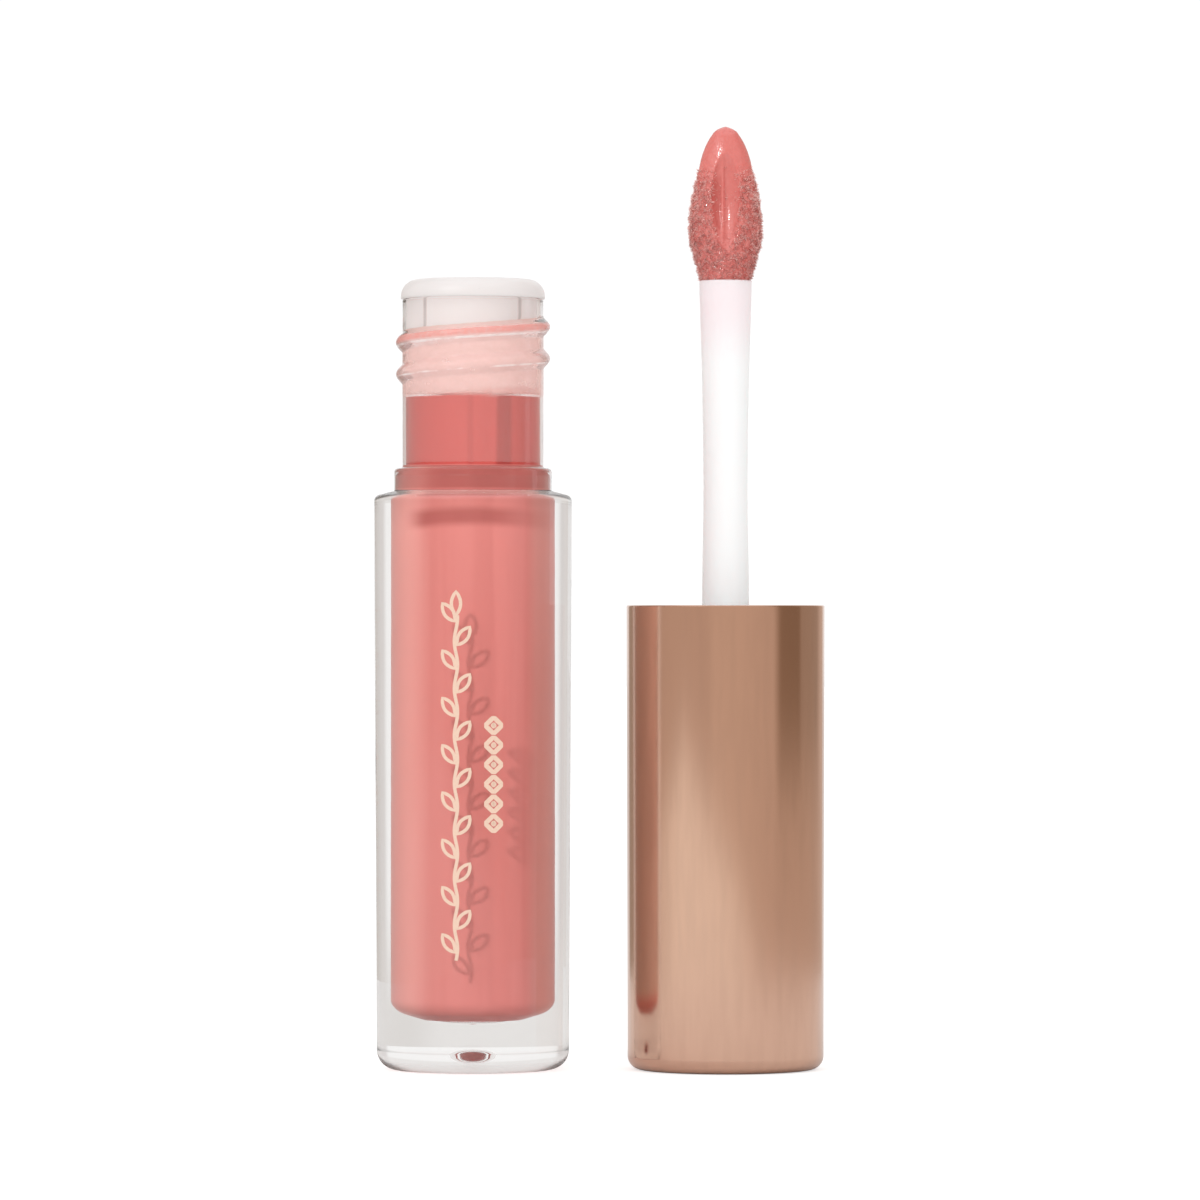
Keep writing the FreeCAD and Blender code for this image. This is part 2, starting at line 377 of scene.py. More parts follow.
neck = {
    "spigotRadius": 5.2, "spigotBore": 4.8, "spigotTop": 57.2, "bore": 4.15, "boreFoot": 58.2,
    "collarRadius": 7.6, "collarTop": 57.9, "collarRound": 0.5, "radius": 6.8,
    "threadStart": 66.75, "threadAngle": math.pi * 0.88, "threadTurns": 1.7, "threadPitch": 3.07,
    "threadHalf": 0.95, "threadHeight": 0.62, "threadFade": 0.07,
    "threadLow": 65.6, "threadHigh": 73.4, "threadStep": 0.13,
    "tint": (0.975, 0.965, 0.96), "ior": 1.55,
    "crest": 70.77, "filmLift": 0.012, "filmFoot": 58.4, "filmTop": 72.7, "filmThick": 0.01,
    "film": linear(247, 212, 206), "filmDeep": linear(236, 160, 152),
}
clearNeck = clearFinish("clearNeck", neck["tint"], neck["ior"], 0.08)


def neckThread(angle, r, z):
    if r < neck["radius"] - 0.3 or not neck["threadLow"] < z < neck["threadHigh"]:
        return 0.0
    return helixRidge(angle, z, neck["threadStart"], neck["threadAngle"], neck["threadTurns"],
                      neck["threadPitch"], neck["threadHalf"], neck["threadHeight"], neck["threadFade"])


def makeNeck():
    n = neck
    rim = neckRim.z / mm
    outline = roundedOutline([
        (n["spigotBore"], neckFoot.z / mm, 0.08),
        (n["spigotRadius"], neckFoot.z / mm, 0.12),
        (n["spigotRadius"], tubeShoulder.z / mm, 0.05),
        (n["collarRadius"], tubeShoulder.z / mm, 0.1),
        (n["collarRadius"], n["collarTop"], n["collarRound"]),
        (n["radius"], n["collarTop"], 0.25),
        (n["radius"], rim, 0.15),
        (n["bore"], rim, 0.1),
        (n["bore"], n["boreFoot"], 0.4),
        (n["spigotBore"], n["spigotTop"], 0.4),
    ], closed=True, steps=6)
    outline = divided(outline, n["threadLow"], n["threadHigh"], n["threadStep"], closed=True)
    piece = turned("neck", outline, clearNeck, "tube", segments=192, closed=True, push=neckThread)
    piece.visible_shadow = False
    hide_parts("neck_insert")


def filmFinish():
    # a thin smear of gloss left on the thread, thickest under its upper ridge, with painted highlights along
    # the crests
    f = Finish("glossSmear")
    place, (x, y, z) = f.place()
    cloud = f.speckle(place, 0.5, 3.0, (1, 1, 1.6))
    fine = f.speckle(place, 2.4, 3.0)
    bearing = f.node("ShaderNodeMath", {"operation": "ARCTAN2"}, {0: x, 1: 0.0 - y})
    climb = z - bearing * (neck["threadPitch"] / fullTurn) - neck["crest"]
    full = f.ramp(z + cloud * 0.8, 65.0, 65.6)
    cover = f.ramp(climb + cloud * 0.5, 0.85, 0.6) * (full * (0.2 + cloud * 0.22) + 0.08)
    thick = f.ramp(climb, -0.35, -0.05) * f.ramp(climb, 0.55, 0.35) * (0.5 + fine)
    # painted highlight: thin white lines along the thread's two crests
    upperLine = f.ramp((climb + 0.42).to("ABSOLUTE"), 0.14, 0.04)
    lowerLine = f.ramp((climb + 3.4).to("ABSOLUTE"), 0.12, 0.03)
    crestHighlight = (upperLine + lowerLine) * f.ramp(cloud, 0.35, 0.6) * 0.7
    colour = f.mixColour(thick * 0.8 + fine * 0.2, neck["film"], neck["filmDeep"])
    shader = f.node("ShaderNodeBsdfPrincipled", inputs={
        "Base Color": f.mixColour(crestHighlight, colour, (1, 1, 1)),
        "Roughness": 0.12 + fine * 0.12, "Coat Weight": 0.6, "Coat Roughness": 0.05,
        "Alpha": cover + thick * 0.2 + crestHighlight * 0.25,
        "Normal": f.bump(fine, 0.2, 0.0001),
    })
    return f.surface(shader)


def makeFilm():
    n = neck
    under = n["radius"] + n["filmLift"]
    over = under + n["filmThick"]
    corners = [(over, n["filmFoot"]), (over, n["filmTop"]), (under, n["filmTop"]), (under, n["filmFoot"])]
    outline = [Vector(spot) for spot in corners]
    outline = divided(outline, n["filmFoot"], n["filmTop"], n["threadStep"], closed=True)
    piece = turned("threadFilm", outline, filmFinish(), "tube", segments=192, closed=True, push=neckThread)
    piece.visible_shadow = False


makeNeck()
makeFilm()
print("neck made")


# the wiper

wiper = {
    "flange": 6.95, "flangeRound": 1.7, "barrel": 4.165, "bore": 3.64, "orifice": 2.45,
    "land": 1.1, "funnel": 2.0, "seamInner": 3.5, "seamOuter": 3.8, "glow": 0.15,
    "milk": linear(250, 246, 245), "lid": linear(224, 219, 218), "seam": linear(196, 190, 188),
    "stain": linear(250, 222, 216), "soaked": linear(235, 150, 142),
}


def wiperFinish():
    # milky, stained by the gloss from below, with two mould seams beside the bore; the flange's top has
    # painted shade, and the barrel below it glows faintly as painted light
    f = Finish("wiperPlastic")
    place, (x, y, z) = f.place()
    cloud = f.speckle(place, 0.9, 3.0)
    level = z + cloud * 0.8 - x * 0.09
    # painted shade: the flange's top takes a darker copy of the milk colour than the barrel
    milk = f.mixColour(f.ramp(z, 74.0, 74.4), wiper["milk"], wiper["lid"])
    seam = f.window(x.to("ABSOLUTE"), wiper["seamInner"], wiper["seamOuter"], 0.12) * f.ramp(z, 74.2, 74.0)
    milk = f.mixColour(seam * 0.7, milk, wiper["seam"])
    colour = f.mixColour(f.ramp(level, 71.9, 71.3), milk, wiper["stain"])
    colour = f.mixColour(f.ramp(level, 65.9, 65.3), colour, wiper["soaked"])
    # painted light: the barrel below the flange glows faintly in its own colour
    glowZone = f.ramp(z, 65.4, 66.0) * f.ramp(z, 74.2, 74.0)
    shader = f.node("ShaderNodeBsdfPrincipled", inputs={
        "Base Color": colour, "Roughness": 0.22 + cloud * 0.2, "IOR": 1.5,
        "Emission Color": f.mixColour(glowZone, (0, 0, 0), colour), "Emission Strength": wiper["glow"],
        "Subsurface Weight": 0.3, "Subsurface Radius": (0.001, 0.0009, 0.0009), "Subsurface Scale": 1.0,
        "Normal": f.bump(cloud, 0.1, 0.0002),
    })
    return f.surface(shader)


wiperPlastic = wiperFinish()


def makeWiper():
    w = wiper
    foot = wiperFoot.z / mm
    rim = neckRim.z / mm
    landTop = foot + w["land"]
    outline = roundedOutline([
        (w["orifice"], foot, 0.1),
        (w["barrel"], foot, 0.03),
        (w["barrel"], rim + 0.02, 0.05),
        (w["flange"], rim + 0.02, 0),
        (w["flange"], wiperTop.z / mm, w["flangeRound"]),
        (w["bore"], wiperTop.z / mm, 0.5),
        (w["bore"], landTop + w["funnel"], 0.5),
        (w["orifice"], landTop, 0.3),
    ], closed=True, steps=8)
    piece = turned("wiperSeal", outline, wiperPlastic, "tube", closed=True)
    piece.visible_shadow = False
    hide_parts("wiper")


makeWiper()
print("wiper made")


# the gloss

gloss = {
    "bite": 0.02, "meniscus": 0.15, "rimGap": 0.1, "rimReach": 3.6,
    "light": linear(217, 132, 125), "deep": linear(223, 132, 126), "streak": linear(205, 112, 106),
    "edgeLeft": linear(238, 162, 154), "edgeRight": linear(221, 147, 139), "mirrored": (0.60, 0.54, 0.47),
    "band": linear(178, 92, 87), "bandFoot": 52.4, "bandTop": 54.9, "collarFoot": 55.7, "collarTop": 58.1,
    "neckTone": linear(206, 80, 75), "neckStripe": linear(164, 48, 45),
}


def glossFinish():
    # creamy gloss, with painted shade: darker bands and stripes for the shade and refraction that the thick
    # wall and the neck draw in it, with painted lighter edges and a painted reflection
    f = Finish("glossCream")
    place, (x, y, z) = f.place()
    drift = f.speckle(place, 0.12, 3.0, (1, 1, 0.35))
    streak = f.speckle(place, 0.55, 2.0, (1, 1, 0.04))
    # painted shade: the colour changes from the left side to the right to even out how the light falls
    # across it
    side = f.ramp(x + drift * 2.0, -4.5, 6.0, False)
    colour = f.mixColour(side, gloss["light"], gloss["deep"])
    # painted shade: faint darker vertical streaks for the wall's refraction
    colour = f.mixColour(f.ramp(streak, 0.42, 0.62) * 0.25, colour, gloss["streak"])
    # painted highlight: a lighter colour at the left and right edges
    colour = f.mixColour(f.ramp(x, -3.0, -5.0), colour, gloss["edgeLeft"])
    colour = f.mixColour(f.ramp(x, 4.0, 5.0), colour, gloss["edgeRight"])
    # painted shade: a dark arched band below the collar, where the collar shades the gloss
    arch = z + x * x * 0.012 + drift * 0.8
    band = f.window(arch, gloss["bandFoot"], gloss["bandTop"], 1.0)
    band = band * f.ramp(x, -5.2, -3.4) * f.ramp(x, 6.5, 1.0)
    colour = f.mixColour(band * (0.4 + drift), colour, gloss["band"])
    # painted shade: darker gloss up in the neck, with darker stripes to the right and in the middle
    above = f.ramp(z, 57.9, 58.3)
    colour = f.mixColour(above, colour, gloss["neckTone"])
    rightStripe = f.ramp(x + drift * 0.4, 2.0, 2.4) * f.ramp(x, 3.3, 2.9)
    middleStripe = f.ramp((x + 0.15).to("ABSOLUTE"), 0.4, 0.1) * 0.35
    colour = f.mixColour(above * (rightStripe + middleStripe) * 0.8, colour, gloss["neckStripe"])
    # painted shade: the gloss behind the collar takes the dark band colour, most in the middle
    collarShade = f.window(z, gloss["collarFoot"], gloss["collarTop"], 0.4)
    collarShade = collarShade * (1.0 - f.ramp(x.to("ABSOLUTE"), 2.2, 4.4) * 0.4)
    colour = f.mixColour(collarShade, colour, gloss["band"])
    # painted reflection: seen in the cap's polished side, the gloss is given a paler colour than its own
    mirrored = f.node("ShaderNodeLightPath", output="Glossy Depth").to("MINIMUM", 1.0) * f.ramp(z, 5.5, 7.5)
    colour = f.mixColour(mirrored * seenThrough(f) * 0.75, colour, gloss["mirrored"])
    shader = f.node("ShaderNodeBsdfPrincipled", inputs={
        "Base Color": colour, "Roughness": 0.28 + drift * 0.1, "IOR": 1.45,
        "Specular IOR Level": 0.15, "Subsurface Weight": 0.05, "Subsurface Radius": (0.0012, 0.0005, 0.0004),
        "Subsurface Scale": 1.0,
        "Normal": f.bump(drift, 0.05, 0.0002),
    })
    return f.surface(shader)


glossCream = glossFinish()


def makeGloss():
    g = gloss
    chamber = vial["chamberRadius"] + g["bite"]
    underNeck = tubeShoulder.z / mm - 0.15
    spigot = neck["spigotBore"] + g["bite"]
    bore = neck["bore"] + g["bite"]
    level = glossTop.z / mm
    wall = chamberOutline()
    outline = [wall[0] - Vector((0, g["bite"]))]
    for before, here, after in zip(wall, wall[1:], wall[2:]):
        # touches the wall all round, apart from a hair of air under the bowl
        along = (after - before).normalized()
        window = math.sin(math.pi * min(1.0, here.x / g["rimReach"])) ** 2
        outline.append(here + Vector((along.y, -along.x)) * (g["bite"] - g["rimGap"] * window))
    outline += roundedOutline([
        (chamber, level - 20, 0),
        (chamber, underNeck, 0.1),
        (spigot, underNeck, 0.05),
        (spigot, neck["spigotTop"], 0.4),
        (bore, neck["boreFoot"], 0.4),
        (bore, level + g["meniscus"], 0.08),
        (bore - 0.45, level, 0.4),
        (0, level, 0),
    ], steps=10)
    piece = turned("glossBody", outline, glossCream, "tube", segments=128)
    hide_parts("gloss_fill")
    return piece


glossPiece = makeGloss()
print("gloss made")


# foil ornament printed on the vial

foil = {
    "lift": 0.012, "thickness": 0.02, "line": 0.32, "boldLine": 0.45,
    "sprigAcross": -1.45, "sprigFoot": 10.9, "sprigTop": 46.0, "leaves": 15, "lean": 0.62, "sway": 0.16,
    "leafRoot": 0.12, "leafLength": 0.92, "leafHalf": 0.2,
    "latticeAcross": 2.15, "latticeFoot": 23.0, "latticeTop": 34.2, "diamonds": 6,
    "diamondHalf": 0.82, "diamondRise": 0.42, "coreHalf": 0.16, "coreRise": 0.18,
    "colour": linear(236, 205, 184),
}


def foilFinish():
    f = Finish("paleFoil")
    place, (x, y, z) = f.place()
    grain = f.speckle(place, 6.0, 4.0)
    shader = f.node("ShaderNodeBsdfPrincipled", inputs={
        "Base Color": f.mixColour(f.ramp(grain, 0.4, 0.75), foil["colour"], dimmed(foil["colour"], 0.93)),
        "Metallic": 0.15, "Roughness": 0.35 + grain * 0.2,
        "Normal": f.bump(grain, 0.1, 0.00002),
    })
    return f.surface(shader)


paleFoil = foilFinish()


def ribbon(verts, faces, path, width, closed):
    # a flat printed line that follows (across, height) points on the vial's wall
    count = len(path)
    first = len(verts)
    for i, here in enumerate(path):
        before = path[(i - 1) % count] if closed or i else here
        after = path[(i + 1) % count] if closed or i < count - 1 else here
        along = Vector((after[0] - before[0], after[1] - before[1])).normalized()
        side = Vector((-along.y, along.x)) * width / 2
        for depth in (foil["lift"], foil["lift"] + foil["thickness"]):
            for sign in (-1, 1):
                across, z = here[0] + side.x * sign, here[1] + side.y * sign
                wall = vialRadius(z)
                angle = front + across / wall
                r = (wall + depth) * mm
                verts.append((r * math.cos(angle), r * math.sin(angle), z * mm))
    for i in range(count if closed else count - 1):
        a = first + i * 4
        b = first + ((i + 1) % count) * 4
        faces += [(a, a + 1, b + 1, b), (a + 2, b + 2, b + 3, a + 3)]
        faces += [(a, b, b + 2, a + 2), (a + 1, a + 3, b + 3, b + 1)]
    if not closed:
        last = first + (count - 1) * 4
        faces += [(first, first + 2, first + 3, first + 1), (last, last + 1, last + 3, last + 2)]


def leafPath(rootAcross, rootZ, lean, length, halfWidth, steps=9):
    # a closed lens outline that grows from a point, leaning from the vertical
    path = []
    for side in (1, -1):
        order = range(steps) if side == 1 else range(steps, 0, -1)
        for k in order:
            t = k / steps
            bulge = side * halfWidth * math.sin(math.pi * t) ** 0.85
            u, v = bulge, length * t
            path.append((rootAcross + u * math.cos(lean) + v * math.sin(lean),
                         rootZ - u * math.sin(lean) + v * math.cos(lean)))
    return path


def diamondPath(across, z, halfWidth, halfHeight, steps=4):
    # a closed diamond, with points along its sides
    corners = [(0, -halfHeight), (halfWidth, 0), (0, halfHeight), (-halfWidth, 0)]
    path = []
    for i, (u, v) in enumerate(corners):
        nextU, nextV = corners[(i + 1) % 4]
        for k in range(steps):
            t = (k + 0.5) / steps
            path.append((across + u + (nextU - u) * t, z + v + (nextV - v) * t))
    return path


def makeFoil():
    # a stalk with leaves to both sides and one at its top, beside a column of small diamonds
    o = foil
    verts, faces = [], []
    rise = (o["sprigTop"] - o["sprigFoot"]) / (o["leaves"] + 0.6)
    stalkTop = o["sprigTop"] - rise
    stalk = []
    steps = o["leaves"] * 6
    for k in range(steps + 1):
        up = (stalkTop - o["sprigFoot"]) * k / steps
        stalk.append((o["sprigAcross"] + o["sway"] * math.sin(math.pi * up / rise), o["sprigFoot"] + up))
    ribbon(verts, faces, stalk, o["line"], False)
    for k in range(o["leaves"]):
        z = o["sprigFoot"] + rise * (k + 0.35)
        side = 1 if k % 2 else -1
        leaf = leafPath(o["sprigAcross"] + o["leafRoot"] * side, z, o["lean"] * side,
                        rise * o["leafLength"], rise * o["leafHalf"])
        ribbon(verts, faces, leaf, o["line"], True)
    topLeaf = leafPath(o["sprigAcross"], stalkTop, 0.0, rise, rise * o["leafHalf"])
    ribbon(verts, faces, topLeaf, o["line"], True)
    pitch = (o["latticeTop"] - o["latticeFoot"]) / o["diamonds"]
    for k in range(o["diamonds"]):
        z = o["latticeFoot"] + pitch * (k + 0.5)
        diamond = diamondPath(o["latticeAcross"], z, o["diamondHalf"], pitch * o["diamondRise"])
        core = diamondPath(o["latticeAcross"], z, o["coreHalf"], o["coreRise"])
        ribbon(verts, faces, diamond, o["boldLine"], True)
        ribbon(verts, faces, core, o["boldLine"] * 0.6, True)
    piece = makeObject("foilSprig", verts, faces, paleFoil, "tube", smooth=False)
    return piece


foilPiece = makeFoil()
print("foil made")


# the cap

cap = {
    "endRadius": 9.45, "endRound": 1.3, "rimRound": 0.15, "bore": 8.65, "endWall": 1.2, "boreRound": 0.3,
    "tint": (0.70, 0.44, 0.33),
}


def roseGoldFinish():
    f = Finish("roseGold")
    place, (x, y, z) = f.place()
    brush = f.speckle(place, 1.2, 3.0, (1, 1, 0.12))
    fine = f.speckle(place, 9.0, 3.0)
    shader = f.node("ShaderNodeBsdfPrincipled", inputs={
        "Base Color": f.mixColour(f.ramp(brush, 0.35, 0.7), cap["tint"], dimmed(cap["tint"], 0.96)),
        "Metallic": 1.0, "Roughness": 0.1 + brush * 0.05 + fine * 0.03,
        "Coat Weight": 0.12, "Coat Roughness": 0.08,
        "Normal": f.bump(fine, 0.02, 0.00003),
    })
    return f.surface(shader)


roseGold = roseGoldFinish()


def makeCap():
    c = cap
    rim = capRim.z / mm
    outline = roundedOutline([
        (0, 0, 0),
        (c["endRadius"], 0, c["endRound"]),
        ((capRim.x - capX) / mm, rim, c["rimRound"]),
        (c["bore"], rim, c["rimRound"]),
        (c["bore"], c["endWall"], c["boreRound"]),
        (0, c["endWall"], 0),
    ], steps=10)
    piece = turned("capSleeve", outline, roseGold, "cap_unit", x=capX, segments=192)
    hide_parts("cap_shell")


makeCap()


inner = {
    "radius": 8.6, "recess": 7.85, "recessFloor": 42.0, "bore": 7.6, "ceiling": 23.15, "web": 21.0,
    "skirtEnd": 14.0, "hub": 3.6, "stemHole": 2.3, "stemFloor": 13.0,
    "threadStart": 33.0, "threadTurns": 1.55, "threadPitch": 3.07, "threadHalf": 0.95, "threadDepth": 0.65,
    "threadFade": 0.12, "threadLow": 31.5, "threadHigh": 39.5, "threadStep": 0.16,
    "colour": (0.85, 0.84, 0.83),
}


def mouldedFinish(name, colour, rough, scale):
    f = Finish(name)
    place, (x, y, z) = f.place()
    grain = f.speckle(place, scale, 4.0)
    shader = f.node("ShaderNodeBsdfPrincipled", inputs={
        "Base Color": f.mixColour(f.ramp(grain, 0.35, 0.75), colour, dimmed(colour, 0.95)),
        "Roughness": rough + grain * 0.12, "Subsurface Weight": 0.2,
        "Subsurface Radius": (0.001, 0.001, 0.001), "Subsurface Scale": 1.0,
        "Normal": f.bump(grain, 0.12, 0.00005),
    })
    return f.surface(shader)


innerPlastic = mouldedFinish("innerPlastic", inner["colour"], 0.35, 3.0)


def innerThread(angle, r, z):
    if not inner["threadLow"] < z < inner["threadHigh"] or r > inner["bore"] + 0.3:
        return 0.0
    return -helixRidge(angle, z, inner["threadStart"], 0.0, inner["threadTurns"], inner["threadPitch"],
                       inner["threadHalf"], inner["threadDepth"], inner["threadFade"])


def makeInnerCap():
    n = inner
    outline = roundedOutline([
        (0, innerFoot.z / mm, 0),
        (n["hub"], innerFoot.z / mm, 0.3),
        (n["hub"], n["web"], 0.3),
        (n["bore"], n["web"], 0.2),
        (n["bore"], n["skirtEnd"], 0.1),
        (n["radius"], n["skirtEnd"], 0.1),
        (n["radius"], innerRim.z / mm, 0.1),
        (n["recess"], innerRim.z / mm, 0.25),
        (n["recess"], n["recessFloor"], 0.08),
        (n["bore"], n["recessFloor"], 0.08),
        (n["bore"], n["ceiling"], 0.2),
        (n["stemHole"], n["ceiling"], 0.05),
        (n["stemHole"], n["stemFloor"], 0.05),
        (0, n["stemFloor"], 0),
    ], steps=5)
    outline = divided(outline, n["threadLow"], n["threadHigh"], n["threadStep"])
    piece = turned("innerCap", outline, innerPlastic, "cap_unit", x=capX, segments=128, push=innerThread)
    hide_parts("inner_cap")


makeInnerCap()


liner = {"hole": 2.65, "edge": 0.2, "colour": (0.8, 0.79, 0.78)}
linerFoam = mouldedFinish("linerFoam", liner["colour"], 0.7, 7.0)


def makeLiner():
    bottom, top = ringFoot.z / mm, ringTop.z / mm
    outside = (ringTop.x - capX) / mm
    hole = liner["hole"]
    outline = roundedOutline([
        (hole, bottom, liner["edge"]),
        (outside, bottom, liner["edge"]),
        (outside, top, liner["edge"]),
        (hole, top, liner["edge"]),
    ], closed=True, steps=6)
    piece = turned("linerRing", outline, linerFoam, "liner", x=capX, segments=96, closed=True)
    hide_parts("sealing_ring")


makeLiner()
print("cap made")


# the wand

stem = {
    "root": 2.3, "ceiling": 23.15, "rim": 2.27, "waist": 2.13, "waistHeight": 55.0, "middle": 2.24,
    "middleHeight": 65.0, "end": 2.53, "pin": 1.3,
    "white": (0.88, 0.89, 0.895), "blush": linear(240, 229, 232), "blushFoot": 67.5, "blushTop": 74.5,
}


def stemFinish():
    f = Finish("wandPlastic")
    place, (x, y, z) = f.place()
    grain = f.speckle(place, 2.5, 3.0, (1, 1, 0.3))
    blush = f.ramp(z + grain * 1.5, stem["blushFoot"], stem["blushTop"])
    shader = f.node("ShaderNodeBsdfPrincipled", inputs={
        "Base Color": f.mixColour(blush, stem["white"], stem["blush"]),
        "Roughness": 0.25 + grain * 0.15, "Subsurface Weight": 0.3,
        "Subsurface Radius": (0.002, 0.0016, 0.0016), "Subsurface Scale": 1.0,
        "Normal": f.bump(grain, 0.05, 0.00005),
    })
    return f.surface(shader)


wandPlastic = stemFinish()


def smoothCurve(points, steps=6):
    # Catmull-Rom curve through (radius, height) points
    result = []
    for i in range(len(points) - 1):
        a = Vector(points[max(i - 1, 0)])
        b, c = Vector(points[i]), Vector(points[i + 1])
        d = Vector(points[min(i + 2, len(points) - 1)])
        for k in range(steps):
            t = k / steps
            result.append(0.5 * (2 * b + (c - a) * t + (2 * a - 5 * b + 4 * c - d) * t * t
                                 + (3 * b - a - 3 * c + d) * t ** 3))
    result.append(Vector(points[-1]))
    return result


def makeStem():
    s = stem
    end = tipFoot.z / mm
    shaft = smoothCurve([
        (s["root"], s["ceiling"]), (s["rim"], capRim.z / mm), (s["waist"], s["waistHeight"]),
        (s["middle"], s["middleHeight"]), (s["end"] - 0.04, end - 2.0), (s["end"], end - 0.35),
    ])
    outline = [Vector((0, stemFoot.z / mm)), Vector((s["root"], stemFoot.z / mm))] + shaft
    outline += roundedOutline([
        (s["end"], end - 0.3, 0),
        (s["end"], end, 0.2),
        (s["pin"], end, 0.1),
        (s["pin"], stemTop.z / mm, 0.2),
        (0, stemTop.z / mm, 0),
    ])
    piece = turned("wandShaft", outline, wandPlastic, "cap_unit", x=capX, segments=96)
    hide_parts("wand_stem")


makeStem()
print("wand made")


# the applicator

tip = {
    "halfWidth": 3.42, "halfDepth": 2.3, "rows": 150, "around": 180,
    "top": 90.85, "wellHeight": 0.5, "wellHalfHeight": 0.32, "wellHalfWidth": 0.42, "wellDepth": 0.95,
    "ridge": 0.28, "ridgeWidth": 0.2, "ridgeX": -0.3,
    "lumps": ((2.6, 0.06), (6.5, 0.07)), "roughTo": 0.66, "roughFade": 0.14,
    "wetMiddle": 84.2, "wetHalfWidth": 1.4, "wetHalfHeight": 4.0,
    "fibres": 15000, "fibreLength": 0.36, "fibreWidth": 0.05, "bareNose": 0.74, "thinning": 0.2,
    "bareHalfWidth": 1.35, "bareHalfHeight": 0.3, "bareShare": 0.96, "seed": 7,
    "wet": linear(206, 112, 106), "wetDeep": linear(186, 84, 78), "fibre": linear(252, 200, 192),
}
# shares of the half width and half depth, from the foot at 0 to the nose at 1
leafWidths = [(0.0, 0.69), (0.1, 0.8), (0.22, 0.945), (0.33, 1.0), (0.42, 0.98), (0.56, 0.895), (0.7, 0.775),
              (0.8, 0.68), (0.88, 0.55), (0.94, 0.4), (0.978, 0.25), (1.0, 0.0)]
leafDepths = [(0.0, 1.0), (0.2, 0.95), (0.5, 0.8), (0.75, 0.66), (0.9, 0.5), (0.97, 0.3), (1.0, 0.0)]


def shareAt(table, t, noseSlope=1.6):
    # smooth reading of a table of (place, value), rounder at the nose
    for i in range(len(table) - 1):
        if t <= table[i + 1][0]:
            break
    a, b = table[i], table[i + 1]
    before, after = table[max(i - 1, 0)], table[min(i + 2, len(table) - 1)]
    span = b[0] - a[0]
    slopeA = (b[1] - before[1]) / (b[0] - before[0])
    slopeB = (after[1] - a[1]) / (after[0] - a[0])
    if after is b:
        slopeB = (b[1] - a[1]) / span * noseSlope
    u = (t - a[0]) / span
    return ((2 * u ** 3 - 3 * u * u + 1) * a[1] + (u ** 3 - 2 * u * u + u) * slopeA * span
            + (3 * u * u - 2 * u ** 3) * b[1] + (u ** 3 - u * u) * slopeB * span)


def tipPoint(t, angle):
    # a point on the applicator, t from foot to nose; the front has a shallow well
    p = tip
    length = p["top"] - tipFoot.z / mm
    halfWidth = p["halfWidth"] * max(shareAt(leafWidths, t), 0.0)
    halfDepth = p["halfDepth"] * max(shareAt(leafDepths, t), 0.0)
    x, y = halfWidth * math.cos(angle), halfDepth * math.sin(angle)
    if y < 0:
        across = x / (p["halfWidth"] * p["wellHalfWidth"])
        up = (t - p["wellHeight"]) / p["wellHalfHeight"]
        reach = across * across + up * up
        if reach < 1:
            y += p["wellDepth"] * (1 - reach) ** 0.9
            fold = math.exp(-((x - p["ridgeX"]) / p["ridgeWidth"]) ** 2)
            y -= p["ridge"] * fold * (1 - reach)
    return Vector((x, y, tipFoot.z / mm + length * t))


def tipNormal(t, angle):
    a = tipPoint(min(t + 0.004, 0.999), angle) - tipPoint(max(t - 0.004, 0.0), angle)
    b = tipPoint(t, angle + 0.01) - tipPoint(t, angle - 0.01)
    n = b.cross(a)
    return n.normalized() if n.length > 1e-9 else Vector((0, 0, 1))


def wetFinish():
    # soaked flock, smooth and wet at the nose and in the well, with painted shade on the well's left side
    f = Finish("wetGloss")
    place, (x, y, z) = f.place()
    clot = f.speckle(place, 3.0, 4.0)
    pile = f.speckle(place, 4.5, 3.0)
    across = (x - capX / mm) / tip["wetHalfWidth"]
    up = (z - tip["wetMiddle"]) / tip["wetHalfHeight"]
    well = f.ramp(across * across + up * up, 1.15, 0.75)
    bare = f.ramp(z, 85.2, 87.2).to("MAXIMUM", well)
    colour = f.mixColour(f.ramp(clot, 0.38, 0.66), tip["wet"], tip["wetDeep"])
    colour = f.mixColour(bare * 0.8, colour, tip["wet"])
    # painted shade: the left side of the well is darker, as if shaded by its rim
    wellShade = well * f.ramp(across, -0.2, -0.45) * f.ramp(z, 86.5, 85.0)
    colour = f.mixColour(wellShade * (0.3 + clot), colour, tip["wetDeep"])
    shader = f.node("ShaderNodeBsdfPrincipled", inputs={
        "Base Color": colour, "Roughness": 0.2 + (1.0 - bare) * (pile * 0.4),
        "Coat Weight": 0.7, "Coat Roughness": 0.08,
        "Subsurface Weight": 0.15, "Subsurface Radius": (0.0012, 0.0005, 0.0004), "Subsurface Scale": 1.0,
        "Normal": f.bump(pile * (1.0 - bare * 0.85), 0.5, 0.0002),
    })
    return f.surface(shader)


def fibreFinish():
    f = Finish("flockFibre")
    place, (x, y, z) = f.place()
    clump = f.speckle(place, 3.2, 3.0)
    low = f.ramp(z, 82.5, 78.0)
    matted = f.ramp(clump + low * 0.12, 0.44, 0.66) * 0.55
    shader = f.node("ShaderNodeBsdfPrincipled", inputs={
        "Base Color": f.mixColour(matted, tip["fibre"], tip["wetDeep"]),
        "Roughness": 0.3 + clump * 0.3, "Coat Weight": 0.7, "Coat Roughness": 0.1,
    })
    return f.surface(shader)


wetGloss = wetFinish()
flockFibre = fibreFinish()


